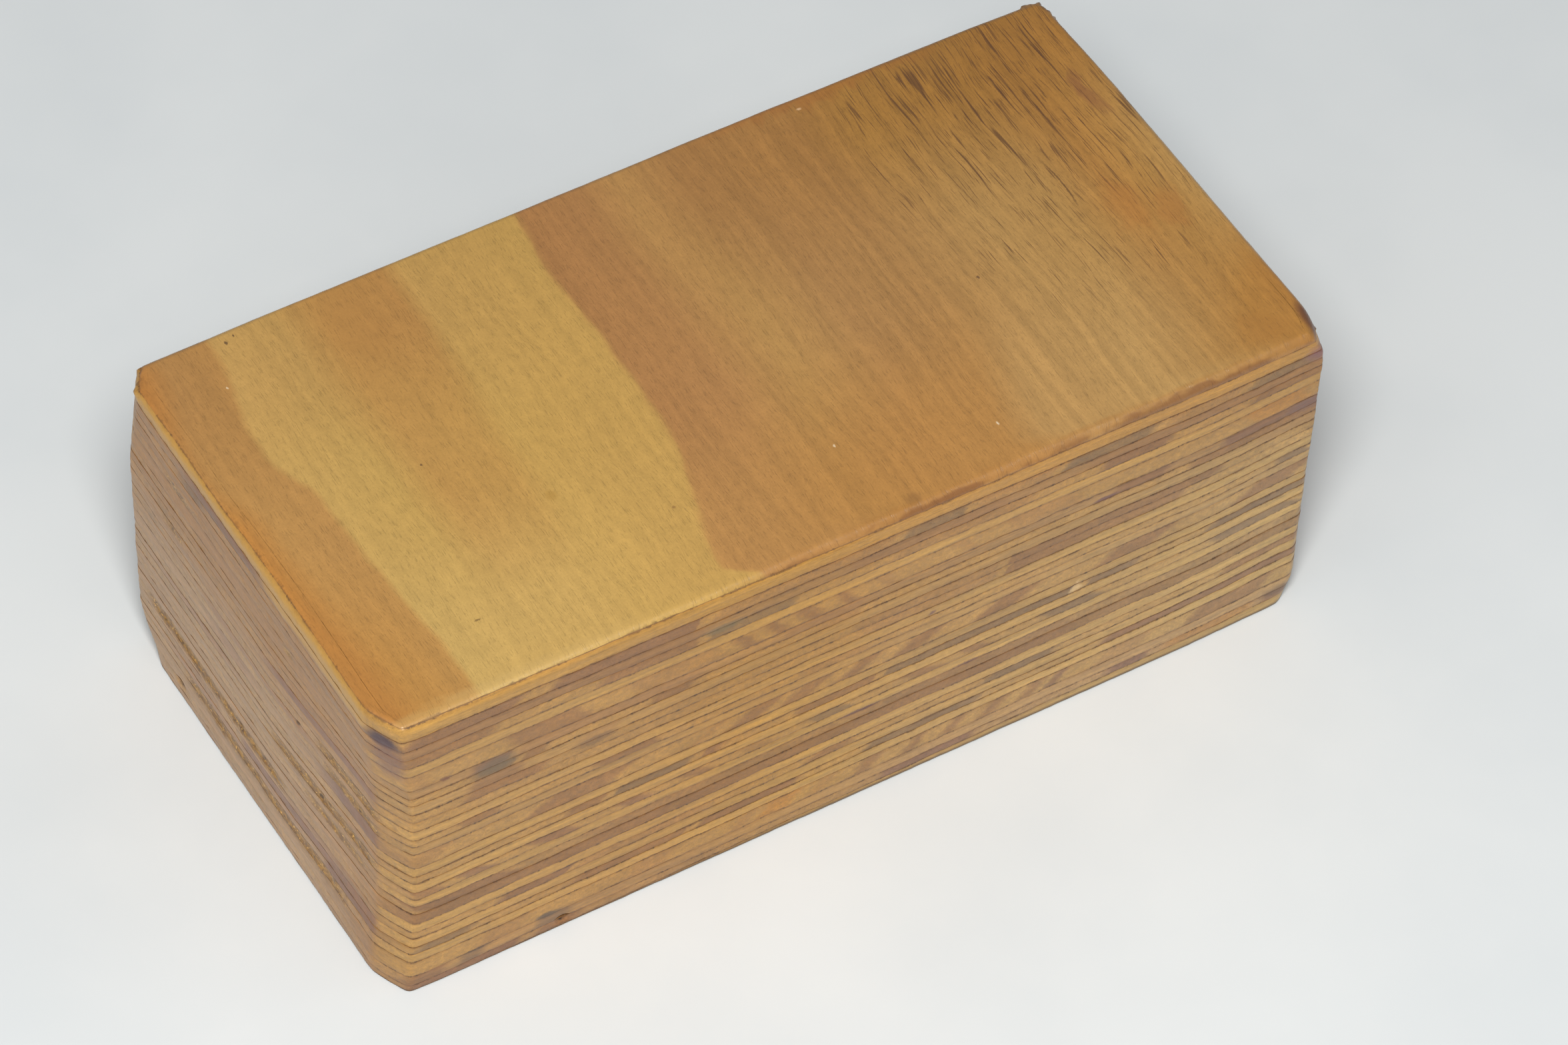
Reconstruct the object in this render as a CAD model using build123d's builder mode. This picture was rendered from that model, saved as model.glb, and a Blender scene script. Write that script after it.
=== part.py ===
from build123d import *
import os

# A solid rectangular block of cross-banded plywood. Three panels lie one on another. Each
# panel is a stack of thin wood veneers with a resin film between every two of them, and the
# lowest panel has been planed thinner. Millimetres, +X along the length, +Z up, and the
# origin in the middle of the face that the block rests on.

# ---- driving dimensions ----
length = 200.0
width = 102.0
glue = 0.1  # thickness of every resin film

# Veneer thicknesses, from the top of each panel down. The grain turns a quarter turn from
# each veneer to the next, and a panel starts and ends with its grain across the block.
upper_panel = [1.2, 3.1, 2.5, 2.2, 2.2, 2.4, 4.0, 2.3, 1.9, 2.5, 2.1]
middle_panel = [2.3, 2.3, 1.8, 2.1, 3.6, 2.3, 1.8, 2.3, 2.0, 2.1, 2.1]
lower_panel = [2.4, 2.3, 1.8, 2.3, 1.7, 2.1, 3.6, 2.5, 1.8, 1.3]  # planed at the bottom
panels = {"upper_panel": upper_panel, "middle_panel": middle_panel, "lower_panel": lower_panel}

# Worn upright corners, seen from above
front_left_facet_along = 3.7  # taken off the front face
front_left_facet_across = 8.2  # taken off the left end
front_right_bevel = 3.0
back_left_radius = 7.0
back_right_radius = 5.0
top_edge_radius = 2.0  # sanded through the face veneer into the one below

# ---- height ----
veneers = upper_panel + middle_panel + lower_panel
height = sum(veneers) + glue * (len(veneers) - 1)


def corner(sketch, side_x, side_y):
    """The plan's vertex furthest to the side_x (-1 left, 1 right) and side_y (-1 front, 1 back)."""
    reach = Vector(side_x * length / 2, side_y * width / 2)
    return sketch.vertices().sort_by(lambda vertex: (Vector(*vertex) - reach).length)[0]


# ---- the whole block, which the pieces are cut from ----
with BuildSketch() as plan:
    Rectangle(length, width)
    left_end = plan.edges().sort_by(Axis.X)[0]
    chamfer(
        corner(plan, -1, -1),
        length=front_left_facet_across,
        length2=front_left_facet_along,
        reference=left_end,
    )
    chamfer(corner(plan, 1, -1), length=front_right_bevel)
    fillet(corner(plan, -1, 1), radius=back_left_radius)
    fillet(corner(plan, 1, 1), radius=back_right_radius)

with BuildPart() as block:
    extrude(plan.sketch, amount=height)
    fillet(block.faces().sort_by(Axis.Z)[-1].edges(), radius=top_edge_radius)


def slice_of_block(bottom, top):
    """The part of the block between two heights."""
    with BuildPart() as piece:
        add(block.part)
        if top < height:
            split(bisect_by=Plane.XY.offset(top), keep=Keep.BOTTOM)
        if bottom > 0:
            split(bisect_by=Plane.XY.offset(bottom), keep=Keep.TOP)
    return piece.part


def write(part, name):
    part.label = name
    export_step(part, f"parts/{name}.step")


# ---- veneers and the resin films between them, from the top down ----
os.makedirs("parts", exist_ok=True)
top = height
for panel, thicknesses in panels.items():
    film_slices = []
    for number, thickness in enumerate(thicknesses, start=1):
        bottom = max(top - thickness, 0)
        with BuildPart() as veneer:
            add(slice_of_block(bottom, top))
        write(veneer.part, f"{panel}_ply_{number:02d}")
        if number < len(thicknesses):
            film_slices.append(slice_of_block(bottom - glue, bottom))
        top = bottom - glue

    # The films inside one panel are alike, so they are one node of separate solids.
    with BuildPart() as films:
        add(film_slices)
    write(films.part, f"{panel}_glue_films")

    # The thick joint between this panel and the next one
    if panel != "lower_panel":
        with BuildPart() as lamination:
            add(slice_of_block(top, top + glue))
        write(lamination.part, f"{panel}_lamination_glue")

print("block", length, "x", width, "x", round(height, 3), "mm")
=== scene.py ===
"""Looks of a laminated plywood block: 32 crossed veneers, glue lines and satin lacquer.

Lengths are in millimetres until a mesh is made. A place on the block is (x, y, d): x from the
left end, y from the front face and d down from the top face.
"""

import math

import bpy
import numpy as np
from mathutils import Matrix, Vector


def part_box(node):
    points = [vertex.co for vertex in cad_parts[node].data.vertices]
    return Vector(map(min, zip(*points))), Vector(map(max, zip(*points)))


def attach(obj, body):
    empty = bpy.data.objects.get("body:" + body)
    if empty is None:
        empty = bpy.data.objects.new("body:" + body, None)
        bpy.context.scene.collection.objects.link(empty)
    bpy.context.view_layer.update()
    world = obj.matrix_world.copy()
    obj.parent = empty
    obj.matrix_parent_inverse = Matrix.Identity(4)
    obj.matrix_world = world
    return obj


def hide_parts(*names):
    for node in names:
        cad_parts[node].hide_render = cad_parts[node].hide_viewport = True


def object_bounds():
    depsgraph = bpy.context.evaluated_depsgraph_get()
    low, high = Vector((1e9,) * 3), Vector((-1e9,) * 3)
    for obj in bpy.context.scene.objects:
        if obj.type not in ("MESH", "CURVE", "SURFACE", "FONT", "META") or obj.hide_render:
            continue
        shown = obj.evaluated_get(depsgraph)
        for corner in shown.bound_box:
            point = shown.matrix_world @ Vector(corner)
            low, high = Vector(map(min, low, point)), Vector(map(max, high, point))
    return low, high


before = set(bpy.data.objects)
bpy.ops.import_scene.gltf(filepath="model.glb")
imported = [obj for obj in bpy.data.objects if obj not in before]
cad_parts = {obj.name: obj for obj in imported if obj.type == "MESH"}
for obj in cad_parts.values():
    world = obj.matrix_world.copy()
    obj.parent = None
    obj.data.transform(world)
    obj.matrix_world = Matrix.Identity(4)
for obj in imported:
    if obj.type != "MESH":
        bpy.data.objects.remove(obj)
cad_low, cad_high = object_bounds()

MM = 0.001
LENGTH, WIDTH, HEIGHT = [(high - low) / MM for low, high in zip(cad_low, cad_high)]
MID_X = LENGTH / 2
MID_Y = WIDTH / 2

# Stations round the outline. Each side runs from the middle of one corner to the middle of the next.
CORNER_STEPS = 16
LONG_STEPS = 288
SHORT_STEPS = 128
GRID_X = LONG_STEPS + CORNER_STEPS
GRID_Y = SHORT_STEPS + CORNER_STEPS
COARSE = 16  # stations to each cell of a hidden face
COLLAR_SHARE = (0.05, 0.08, 0)  # how far toward the middle a hidden face's coarse cells start

SOFTENING = 3  # how often neighbouring stations are averaged, which rounds the vertical edges

TOP_EDGE_RADIUS = 2.0
BASE_EDGE_RADIUS = 0.4
HAND_ROLL = 0.07  # how far hand sanding leaves the faces rolling either way
GLUE_GROOVE = (0.04, 0.12)  # depth of the groove beside a glue line and how fast it fades
RESIN_SETBACK = 0.13  # how far the resin stops inside the faces
TURNED_EDGE = math.radians(68)  # how far round the top edge its rows of points go
THINNEST_EDGE = 0.2
ROW_SPACING = 0.5
EDGE_ROW = 0.14  # how far from a glue line a veneer's second row of points is
FAR_FROM_GLUE = 9.0
SHARP_ANGLE = math.radians(50)  # what the shading doesn't smooth over


# ---- smooth random fields


def smooth_noise(wave_x, wave_y, wave_d, seed, places):
    """Smooth noise from -1 to 1 at places, an array of (x, y, d), with these wavelengths."""
    size = 24
    lattice = np.random.default_rng(seed).uniform(-1, 1, (size, size, size))
    scaled = np.asarray(places, float) / (wave_x, wave_y, wave_d)
    cell = np.floor(scaled).astype(int)
    part = scaled - cell
    part = part * part * (3 - 2 * part)
    total = np.zeros(scaled.shape[:-1])
    for corner in np.ndindex(2, 2, 2):
        weight = np.prod(np.where(corner, part, 1 - part), axis=-1)
        index = (cell + corner) % size
        total += weight * lattice[index[..., 0], index[..., 1], index[..., 2]]
    return total


def step_up(value, start, end):
    """0 before start, 1 after end, smooth between them."""
    part = np.clip((value - start) / (end - start), 0, 1)
    return part * part * (3 - 2 * part)


def step_down(value, start, end):
    """1 before start, 0 after end, smooth between them."""
    return 1 - step_up(value, start, end)


def with_depth(points, depth):
    """(x, y) points and the depth of each as places (x, y, d)."""
    return np.concatenate([points, np.broadcast_to(depth, len(points))[:, None]], axis=1)


# ---- shape of the block


def corner_cuts(depth):
    """How far each corner is cut along x and along y at this depth, and how round the cut is."""
    lower = step_up(depth, 0, HEIGHT)
    foot = step_up(depth, HEIGHT - 7, HEIGHT)
    head = step_down(depth, 0, 26)
    tip = step_down(depth, 0, 7)
    knocked = step_up(depth, HEIGHT - 13, HEIGHT)
    return {
        "front_left": (3.7, 8.2, 0.14),
        "front_right": (
            0.5 + 2.4 * lower + 2.4 * foot + 2.8 * tip,
            0.9 + 2.8 * lower + 2.4 * foot + 7.5 * tip,
            0.5,
        ),
        "back_right": (3.0 + 0.8 * lower, 3.0 + 0.8 * lower, 0.85),
        "back_left": (1.2 + 2.6 * head + 3.6 * knocked, 1.6 + 5.0 * head + 8.0 * knocked, 0.4),
    }


def corner_arc(start, virtual, end, roundness):
    """Stations from start to end, cutting the virtual corner; start and end belong to it."""
    middle = (start + end) / 2
    handle = middle + (virtual - middle) * roundness
    points = []
    for step in range(CORNER_STEPS):
        t = step / CORNER_STEPS
        points.append((1 - t) ** 2 * start + 2 * t * (1 - t) * handle + t * t * end)
    return points


def straight(start, end, steps):
    """Stations from start toward end, which belongs to what follows."""
    return [start + (end - start) * (step / steps) for step in range(steps)]


# Where each corner is, as shares of the length and width, and which way the cut's two ends lie from it.
CORNERS = {
    "front_left": ((0, 0), (0, 1), (1, 0)),
    "front_right": ((1, 0), (-1, 0), (0, 1)),
    "back_right": ((1, 1), (0, -1), (-1, 0)),
    "back_left": ((0, 1), (1, 0), (0, -1)),
}


def plan_outline(depth):
    """The stations of the outline at one depth, anticlockwise from the front left corner's middle."""
    arcs = []
    for name, (cut_x, cut_y, roundness) in corner_cuts(depth).items():
        share, enter, leave = np.array(CORNERS[name], float)
        corner = share * (LENGTH, WIDTH)
        start, end = corner + enter * (cut_x, cut_y), corner + leave * (cut_x, cut_y)
        arcs.append((start, end, corner_arc(start, corner, end, roundness)))
    points = []
    for index, (_, end, arc) in enumerate(arcs):
        steps = LONG_STEPS if index % 2 == 0 else SHORT_STEPS
        points += arc + straight(end, arcs[(index + 1) % 4][0], steps)
    return np.roll(np.array(points), -CORNER_STEPS // 2, axis=0)


STATION_COUNT = 2 * (GRID_X + GRID_Y)
OUTLINE_DEPTHS = np.linspace(0, HEIGHT, 39)
OUTLINES = np.array([plan_outline(depth) for depth in OUTLINE_DEPTHS])


def outline_at(depth):
    """The outline's stations where station i is at depth[i], and the outward normal at each."""
    place = np.clip(depth, 0, HEIGHT) / HEIGHT * (len(OUTLINE_DEPTHS) - 1)
    below = np.minimum(place.astype(int), len(OUTLINE_DEPTHS) - 2)
    part = (place - below)[:, None]
    station = np.arange(STATION_COUNT)
    points = OUTLINES[below, station] * (1 - part) + OUTLINES[below + 1, station] * part
    for _ in range(SOFTENING):
        points = (np.roll(points, 1, axis=0) + 2 * points + np.roll(points, -1, axis=0)) / 4
    along = np.roll(points, -1, axis=0) - np.roll(points, 1, axis=0)
    normal = np.stack([along[:, 1], -along[:, 0]], axis=1)
    return points, normal / np.linalg.norm(normal, axis=1, keepdims=True)


def sanded(points, depth):
    """The outline's stations moved inward where hand sanding has hollowed the sides of the box."""
    x, y = points[:, 0], points[:, 1]
    waist = step_up(depth, 3, 28) * step_down(depth, 50, HEIGHT + 2)
    hollow_left = 1.8 * waist * step_down(y, 6, 50)
    hollow_front = 0.5 * step_up(x, LENGTH - 30, LENGTH) + 0.3 * step_down(x, 0, 12)
    hollow_right = 0.05 + 0.6 * step_up(y, WIDTH - 30, WIDTH) + 0.1 * step_down(y, 0, 30)
    hollow_back = 0.1 + 0.6 * step_up(x, LENGTH - 20, LENGTH) + 0.1 * step_down(x, 0, 30)
    moved_x = hollow_left * step_down(x, 0, 30) - hollow_right * step_up(x, LENGTH - 30, LENGTH)
    moved_y = hollow_front * step_down(y, 0, 30) - hollow_back * step_up(y, WIDTH - 30, WIDTH)
    return points + np.stack([moved_x, moved_y], axis=1)


def rolling_inset(points, depth):
    """How far the faces roll in and out, as hand sanding leaves them."""
    places = with_depth(points, depth)
    return HAND_ROLL * (1 + smooth_noise(38, 30, 22, 11, places))


def top_edge_inset(points, depth):
    """How far the rounded top edge lies inside the faces below it."""
    places = with_depth(points, 0.0)
    radius = TOP_EDGE_RADIUS * (1 + 0.16 * smooth_noise(17, 13, 10, 12, places))
    above = np.clip(radius - depth, 0, radius)
    return radius - np.sqrt(np.maximum(radius**2 - above**2, 0))


def base_edge_inset(depth):
    below = np.clip(depth - (HEIGHT - BASE_EDGE_RADIUS), 0, BASE_EDGE_RADIUS)
    return BASE_EDGE_RADIUS - np.sqrt(np.maximum(BASE_EDGE_RADIUS**2 - below**2, 0))


def ring(depth, relief):
    """One closed loop of places at the given depths, relief further inside the block's faces."""
    points, normal = outline_at(depth)
    inset = rolling_inset(points, depth) + top_edge_inset(points, depth)
    inset = inset + base_edge_inset(depth) + relief
    points = sanded(points - normal * inset[:, None], depth)
    points = np.clip(points, 0, (LENGTH, WIDTH))
    return with_depth(points, depth)


# ---- where the veneers meet

PANELS = ("upper_panel", "middle_panel", "lower_panel")


def veneer_nodes():
    """The veneers from the top down, each with its CAD node's name and nominal depths."""
    names = [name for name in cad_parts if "_ply_" in name]
    veneers = []
    for name in sorted(names, key=lambda name: -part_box(name)[1].z):
        low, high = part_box(name)
        veneers.append((name, HEIGHT - high.z / MM, HEIGHT - low.z / MM))
    return veneers


VENEERS = veneer_nodes()
JOINTS = [(upper[2] + lower[1]) / 2 for upper, lower in zip(VENEERS, VENEERS[1:])]
FILM = 0.1  # nominal thickness of a glue film
FIRST_JOINT = 0.42  # the least depth of the first glue joint
LAST_JOINT = 0.45  # the least height of the last one above the base


def joint_drift(nominal, x, y):
    """How much lower than nominal a glue joint runs here: the pressed panels aren't quite flat."""
    along = np.clip((x - 95) / 80, -1.15, 1.25)
    slope = np.interp(nominal, [0, 12, 26, 50, 70, HEIGHT], [0.85, 0.4, 0.0, -0.6, -1.05, -1.1])
    places = np.stack([x, y, np.full_like(x, nominal)], axis=-1)
    swell = 0.22 * smooth_noise(31, 27, 9, 21, places)
    ripple = 0.13 * smooth_noise(8, 8, 3.1, 22, places)
    quiver = 0.06 * smooth_noise(2.3, 2.3, 1.7, 23, places)
    edge = np.interp(nominal, [0, 2, 6], [0.35, 0.6, 1.0])
    rise = np.interp(nominal, [4, 12, 60, HEIGHT], [0, 1.0, 1.0, 0]) * step_up(x, LENGTH - 28, LENGTH)
    return slope * along - rise + edge * (swell + ripple + quiver)


def joint_depth(index, x, y):
    """Depth of the glue joint below veneer index. Joint -1 is the top face and the last the base."""
    if index < 0:
        return np.zeros_like(x)
    if index >= len(JOINTS):
        return np.full_like(x, HEIGHT)
    limit_top = FIRST_JOINT + 0.05 * index
    limit_base = HEIGHT - LAST_JOINT - 0.5 * (len(JOINTS) - 1 - index)
    return np.clip(JOINTS[index] + joint_drift(JOINTS[index], x, y), limit_top, limit_base)


def joint_ring(index):
    """Depth of a joint at each station of the outline."""
    points, _ = outline_at(np.full(STATION_COUNT, HEIGHT / 2))
    return joint_depth(index, points[:, 0], points[:, 1])


def gap_at(index, depth):
    """How open a glue joint is along the faces: nearly closed in most places, wide in some."""
    points, _ = outline_at(depth)
    places = with_depth(points, depth)
    long_part = smooth_noise(13, 13, 2.0, 31 + index, places)
    short_part = smooth_noise(1.9, 1.9, 1.0, 71 + index, places)
    wide = step_up(0.6 * long_part + 0.5 * short_part, 0.0, 0.7)
    on_end = step_down(np.minimum(points[:, 0], LENGTH - points[:, 0]), 3, 6)
    closed = 1 - 0.6 * on_end
    return (0.5 * FILM + 0.12 * wide * (0.3 if index == 0 else 1.0)) * closed


# ---- meshes


def to_model(places):
    """Block places in millimetres as points in the frame, in metres."""
    places = np.asarray(places, float)
    return np.stack(
        [
            (places[:, 0] - MID_X) * MM,
            (places[:, 1] - MID_Y) * MM,
            (HEIGHT - places[:, 2]) * MM,
        ],
        axis=1,
    )


def patch_grid(loop, steps_x, steps_y):
    """Places inside a closed loop, as a grid of steps_x by steps_y cells, by blending its sides."""
    front = loop[: steps_x + 1]
    right = loop[steps_x : steps_x + steps_y + 1]
    back = loop[steps_x + steps_y : 2 * steps_x + steps_y + 1][::-1]
    left = np.concatenate([loop[2 * steps_x + steps_y :], loop[:1]])[::-1]
    u = np.linspace(0, 1, steps_x + 1)[None, :, None]
    v = np.linspace(0, 1, steps_y + 1)[:, None, None]
    between_long = (1 - v) * front + v * back
    between_short = (1 - u) * left[:, None] + u * right[:, None]
    between_corners = (1 - v) * ((1 - u) * front[0] + u * front[-1]) + v * (
        (1 - u) * back[0] + u * back[-1]
    )
    return between_long + between_short - between_corners


def loop_order(steps_x, steps_y):
    """Row and column of each point round a grid's edge, in the order of the loop."""
    front = [(0, i) for i in range(steps_x)]
    right = [(j, steps_x) for j in range(steps_y)]
    back = [(steps_y, steps_x - i) for i in range(steps_x)]
    left = [(steps_y - j, 0) for j in range(steps_y)]
    return front + right + back + left


class Shell:
    """Collects the points and faces of one piece."""

    def __init__(self):
        self.places = []
        self.faces = []
        self.edge_distance = []
        self.count = 0

    def add(self, places, edge_distance):
        """Adds places and how far each is from a glue line, and returns their indices."""
        self.places.append(np.asarray(places, float))
        self.edge_distance.append(np.broadcast_to(edge_distance, len(places)))
        first = self.count
        self.count += len(places)
        return np.arange(first, self.count)

    def band(self, upper, lower):
        """A band of quads between two loops of the same number of points, facing outward."""
        upper_next, lower_next = np.roll(upper, -1), np.roll(lower, -1)
        self.faces += np.stack([upper, lower, lower_next, upper_next], axis=1).tolist()

    def cap(self, loop, edge, facing_up, fine, height):
        """Closes a loop with a grid: fine has a cell for each station, otherwise it is coarse."""
        steps_x, steps_y = GRID_X, GRID_Y
        if not fine:
            steps_x, steps_y = GRID_X // COARSE, GRID_Y // COARSE
            loop = loop[::COARSE]
            loop = loop + (np.array([MID_X, MID_Y, 0]) - loop) * COLLAR_SHARE
        grid = patch_grid(loop, steps_x, steps_y)
        grid[..., 2] = height(grid[..., 0], grid[..., 1], grid[..., 2])
        index = np.full(grid.shape[:2], -1)
        order = loop_order(steps_x, steps_y)
        if fine:
            for (row, column), known in zip(order, edge):
                index[row, column] = known
            inside = index < 0
            index[inside] = self.add(grid[inside], FAR_FROM_GLUE)
        else:
            index[:] = self.add(grid.reshape(-1, 3), FAR_FROM_GLUE).reshape(index.shape)
            self.collar(edge, [index[place] for place in order], facing_up)
        quads = np.stack(
            [index[:-1, :-1], index[:-1, 1:], index[1:, 1:], index[1:, :-1]], axis=-1
        ).reshape(-1, 4)
        self.faces += (quads if facing_up else quads[:, ::-1]).tolist()

    def collar(self, edge, inner, facing_up):
        """Joins a loop of many stations to a coarse loop inside it."""
        for i, start in enumerate(inner):
            end = inner[(i + 1) % len(inner)]
            outer = [edge[(i * COARSE + k) % len(edge)] for k in range(COARSE + 1)]
            half = COARSE // 2
            fans = [(outer[k], outer[k + 1], start) for k in range(half)]
            fans += [(outer[half], end, start)]
            fans += [(outer[k], outer[k + 1], end) for k in range(half, COARSE)]
            self.faces += [fan if facing_up else fan[::-1] for fan in fans]

    def piece(self, name, material):
        """The finished object, riding on the block's body."""
        mesh = bpy.data.meshes.new(name)
        points = to_model(np.concatenate(self.places))
        mesh.from_pydata(points.tolist(), [], self.faces)
        distance = mesh.attributes.new("glue_distance", "FLOAT", "POINT")
        distance.data.foreach_set("value", np.concatenate(self.edge_distance).astype(np.float32))
        mesh.shade_smooth()
        mesh.set_sharp_from_angle(angle=SHARP_ANGLE)
        mesh.materials.append(material)
        mesh.validate()
        obj = bpy.data.objects.new(name, mesh)
        bpy.context.scene.collection.objects.link(obj)
        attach(obj, "root")
        return obj


# Torn end grain on the left end: where it starts and ends along y, its upper and lower depths and
# how deep the tearing goes.
TORN = [
    (1, 29, 29.6, 32.6, 0.22),
    (5, 27, 34.0, 36.8, 0.22),
    (8, 46, 44.7, 47.8, 0.24),
    (12, 33, 49.2, 51.8, 0.20),
    (41, 96, 56.2, 59.8, 0.30),
    (18, 82, 65.2, 68.2, 0.26),
    (35, 40, 14.2, 15.8, 0.20),
    (78, 88, 25.4, 27.2, 0.18),
    (74, 85, 12.2, 14.2, 0.05),
]

# Small holes and chips: x, y, depth below the top, radius and how deep the hole goes.
PITS = [
    (36.2, 0, 74.0, 1.0, 1.1),
    (147.0, 0, 42.9, 0.8, 0.45),
    (0, 84.0, 72.0, 1.1, 0.9),
    (0, 17.2, 46.2, 0.4, 0.4),
    (0, 28.0, 46.6, 0.4, 0.4),
    (0, 35.2, 32.8, 0.4, 0.4),
    (112.0, WIDTH, 33.0, 1.2, 0.7),
    (64.0, WIDTH, 58.5, 1.0, 0.6),
    (LENGTH, 40.0, 57.0, 1.0, 0.7),
    (LENGTH, 71.0, 45.5, 1.2, 0.7),
]

# Fibres that stand off the sanded corners: x, y, depth, reach and how far they stand out.
FRAYS = [
    (3.0, WIDTH - 4.0, 1.2, 6.0, 0.9),
    (LENGTH - 2.5, WIDTH - 2.5, 1.4, 6.0, 0.9),
    (LENGTH - 2.0, 3.0, 2.6, 3.0, 0.4),
    (145.0, 0.0, 40.8, 1.6, 0.45),
]


def distance_from(places, centre, squash):
    """Distance from a centre, with the square of the part in depth counted squash times."""
    return np.sqrt(((places - centre) ** 2 * (1, 1, squash)).sum(axis=1))


def surface_relief(name, points, depth, distance):
    """Roughness of a veneer's cut edge in millimetres, positive inward."""
    places = with_depth(points, depth)
    number = int(name[-2:])
    crosses = is_cross(name)
    stands = 0.05 * math.sin(7.3 * number + 2.1 * PANELS.index(name[:-7]))
    wide = 0.05 * smooth_noise(6, 6, 2.5, 41, places)
    fine = 0.035 * smooth_noise(1.3, 1.3, 0.7, 42, places)
    relief = 0.06 + stands + wide + fine
    on_end = step_down(np.minimum(points[:, 0], LENGTH - points[:, 0]), 3, 8)
    if not crosses:
        relief = relief + on_end * 0.10 * np.abs(smooth_noise(1.6, 1.5, 1.1, 43, places))
    at_left = step_down(points[:, 0], 3, 8)
    ragged = np.abs(smooth_noise(1.5, 1.3, 0.9, 44, places)) + 0.25
    for start, end, top, base, deep in TORN:
        fade = min(6, (end - start) / 2)
        within = step_up(points[:, 1], start, start + fade) * step_down(points[:, 1], end - fade, end)
        within = within * step_up(depth, top - 0.2, top + 0.4)
        within = within * step_down(depth, base - 0.4, base + 0.2)
        relief = relief + at_left * within * deep * ragged * step_up(distance, 0.05, 0.4)
    for pit_x, pit_y, pit_depth, radius, deep in PITS:
        away = distance_from(places, (pit_x, pit_y, pit_depth), 2.2)
        relief = relief + deep * step_down(away, 0, radius + 1.2)
    for fray_x, fray_y, fray_depth, reach, out in FRAYS:
        away = distance_from(places, (fray_x, fray_y, fray_depth), 3)
        spikes = np.maximum(smooth_noise(1.1, 1.1, 0.8, 45, places), 0) * 2.2
        relief = relief - out * spikes * step_down(away, 0, reach)
    return relief


def short_name(name):
    """What the tables below call a veneer: upper_03 for upper_panel_ply_03."""
    return name.replace("_panel_ply", "")


def is_cross(name):
    """Whether a veneer's grain crosses the block: each panel's first does, and every second after it."""
    return int(name[-2:]) % 2 == 1


def row_places(thickness, rounded_top):
    """Where a veneer's rows lie from its upper edge, 0, to its lower edge, 1."""
    if rounded_top:
        turn = np.linspace(0, 1, 10)
        return (1 - np.cos(turn * TURNED_EDGE)) / (1 - math.cos(TURNED_EDGE))
    inner = max(4, round(thickness / ROW_SPACING))
    edge = EDGE_ROW / thickness
    return np.concatenate([[0, edge], np.linspace(0, 1, inner + 1)[1:-1], [1 - edge, 1]])


def top_surface(x, y, depth):
    """The sanded top face: very slightly hollow and rolling, and never above the block's height."""
    places = np.stack([x, y, np.zeros_like(x)], axis=-1)
    rim = np.minimum(np.minimum(x, LENGTH - x), np.minimum(y, WIDTH - y))
    inside = step_up(rim, TOP_EDGE_RADIUS, 14)
    rolling = 0.09 * (1 + smooth_noise(46, 38, 10, 51, places))
    grain = 0.012 * (1 + smooth_noise(0.9, 9, 10, 52, places))
    return np.maximum(depth, 0) * (1 - inside) + inside * rolling + grain


def veneer_piece(index):
    """One veneer as a closed sheet whose edges show on the four sides."""
    name = VENEERS[index][0]
    first, last = index == 0, index == len(VENEERS) - 1
    upper, lower = joint_ring(index - 1), joint_ring(index)
    if not first:
        upper = upper + gap_at(index - 1, upper) / 2
    if not last:
        lower = lower - gap_at(index, lower) / 2
    lower = np.maximum(lower, upper + THINNEST_EDGE)
    shell = Shell()
    rows = row_places(VENEERS[index][2] - VENEERS[index][1], first)
    loops, indices = [], []
    for row in rows:
        depth = upper + (lower - upper) * row
        points, _ = outline_at(depth)
        distance_up = np.full(STATION_COUNT, FAR_FROM_GLUE) if first else depth - upper
        distance_down = np.full(STATION_COUNT, FAR_FROM_GLUE) if last else lower - depth
        distance = np.minimum(distance_up, distance_down)
        relief = surface_relief(name, points, depth, distance)
        if first:
            relief = relief * step_up(depth, 0.1, 0.6)
        groove = GLUE_GROOVE[0] * np.exp(-distance / GLUE_GROOVE[1])
        loop = ring(depth, relief + groove)
        loops.append(loop)
        indices.append(shell.add(loop, distance))
    for above, below in zip(indices, indices[1:]):
        shell.band(above, below)

    def upper_face(x, y, depth):
        return top_surface(x, y, depth) if first else joint_depth(index - 1, x, y) + FILM / 2

    def lower_face(x, y, depth):
        return joint_depth(index, x, y) - (0 if last else FILM / 2)

    shell.cap(loops[0], indices[0], True, first, upper_face)
    shell.cap(loops[-1], indices[-1], False, False, lower_face)
    return shell


def glue_sheets(indices, shell):
    """Adds the glue films below these veneers to a shell, each a closed sheet of its own."""
    for index in indices:
        middle = joint_ring(index)
        gap = gap_at(index, middle)
        points, _ = outline_at(middle)
        places = with_depth(points, middle)
        back = RESIN_SETBACK + 0.06 * smooth_noise(2.1, 2.1, 1.0, 61 + index, places)
        upper = ring(middle - gap / 2, back)
        lower = ring(middle + gap / 2, back)
        first = shell.add(upper, 0.0)
        second = shell.add(lower, 0.0)
        shell.band(first, second)

        def upper_face(x, y, depth, index=index):
            return joint_depth(index, x, y) - FILM / 2

        def lower_face(x, y, depth, index=index):
            return joint_depth(index, x, y) + FILM / 2

        shell.cap(upper, first, True, False, upper_face)
        shell.cap(lower, second, False, False, lower_face)
    return shell


# ---- shader nodes


def linear(red, green, blue):
    """A colour seen on a screen, 0 to 255, as the linear numbers that a shader takes."""
    values = []
    for value in (red, green, blue):
        share = value / 255
        values.append(share / 12.92 if share <= 0.04045 else ((share + 0.055) / 1.055) ** 2.4)
    return (*values, 1.0)


LACQUER_IOR = 1.5


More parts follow.
